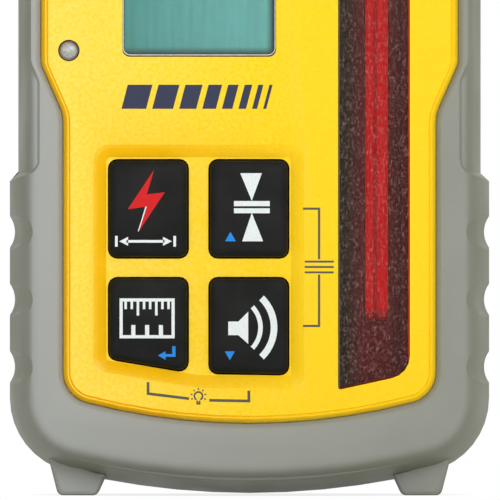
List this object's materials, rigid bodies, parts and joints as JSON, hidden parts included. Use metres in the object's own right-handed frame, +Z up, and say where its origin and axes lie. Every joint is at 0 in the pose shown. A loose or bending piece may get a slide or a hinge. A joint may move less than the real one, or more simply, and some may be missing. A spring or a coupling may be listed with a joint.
{
  "type": "laser receiver",
  "caption": "Handheld laser level receiver with a grey overmoulded grip, front and back displays, a tall red photocell window, soft keys and a hinged battery door.",
  "frame": {"origin": "middle of the footprint, on the plane of the feet", "axes": "+Z up along the height, +Y from the key side to the battery door side, +X to the right as seen from the key side"},
  "size_m": [0.076, 0.036, 0.168],
  "materials": {
    "yellow_shell": "moulded, satin",
    "grey_overmould": "matte overmoulded elastomer",
    "key_rubber": "matte silicone",
    "seal_rubber": "matte",
    "screw_steel": "zinc plated",
    "display_lens": "clear",
    "display_glass": "satin polariser over glass",
    "backlight_white": "diffusing",
    "board_green": "solder mask",
    "ribbon_amber": "polyimide film",
    "red_filter": "tinted",
    "dark_plastic": "matte",
    "light_guide": "polished",
    "strobe_clear": "frosted",
    "contact_steel": "nickel plated",
    "membrane": "woven vent",
    "cell_can": "plain sleeve",
    "insert_brass": "turned"
  },
  "bodies": {
    "receiver": {"front_housing": "yellow_shell", "rear_housing": "yellow_shell", "front_bumper": "grey_overmould", "rear_bumper": "grey_overmould", "keypad_mat": "key_rubber", "housing_seal": "seal_rubber", "battery_door_seal": "seal_rubber", "housing_screws": "screw_steel", "board_screws": "screw_steel", "front_display_lens": "display_lens", "rear_display_lens": "display_lens", "front_display_panel": "display_glass", "rear_display_panel": "display_glass", "front_backlight": "backlight_white", "rear_display_board": "board_green", "photocell_board": "board_green", "main_board": "board_green", "display_ribbon": "ribbon_amber", "photocell_window": "red_filter", "photocell_baffle": "dark_plastic", "photodiodes": "dark_plastic", "strobe_sensor": "dark_plastic", "controller_chip": "dark_plastic", "board_link": "dark_plastic", "buzzer": "dark_plastic", "light_guides": "light_guide", "strobe_lens": "strobe_clear", "key_domes": "contact_steel", "battery_contacts": "contact_steel", "battery_springs": "contact_steel", "hinge_pin": "contact_steel", "sound_membrane": "membrane", "battery_cells": "cell_can", "clamp_insert": "insert_brass"},
    "capture_key": {"capture_key": "key_rubber"},
    "deadband_key": {"deadband_key": "key_rubber"},
    "units_key": {"units_key": "key_rubber"},
    "volume_key": {"volume_key": "key_rubber"},
    "power_key": {"power_key": "key_rubber"},
    "battery_door": {"battery_door": "yellow_shell"}
  },
  "joints": [
    {"name": "capture_press", "type": "slide", "parent": "receiver", "child": "capture_key", "axis": [0, 1, 0], "range_m": [0, 0.0008], "stiffness_N_per_m": 600, "springref_m": -0.0008},
    {"name": "deadband_press", "type": "slide", "parent": "receiver", "child": "deadband_key", "axis": [0, 1, 0], "range_m": [0, 0.0008], "stiffness_N_per_m": 600, "springref_m": -0.0008},
    {"name": "units_press", "type": "slide", "parent": "receiver", "child": "units_key", "axis": [0, 1, 0], "range_m": [0, 0.0008], "stiffness_N_per_m": 600, "springref_m": -0.0008},
    {"name": "volume_press", "type": "slide", "parent": "receiver", "child": "volume_key", "axis": [0, 1, 0], "range_m": [0, 0.0008], "stiffness_N_per_m": 600, "springref_m": -0.0008},
    {"name": "power_press", "type": "slide", "parent": "receiver", "child": "power_key", "axis": [0, 1, 0], "range_m": [0, 0.0008], "stiffness_N_per_m": 600, "springref_m": -0.0008},
    {"name": "battery_door_swing", "type": "hinge", "parent": "receiver", "child": "battery_door", "pos_m": [0, 0.0162, 0.0154], "axis": [-1, 0, 0], "range_deg": [0, 95]}
  ]
}
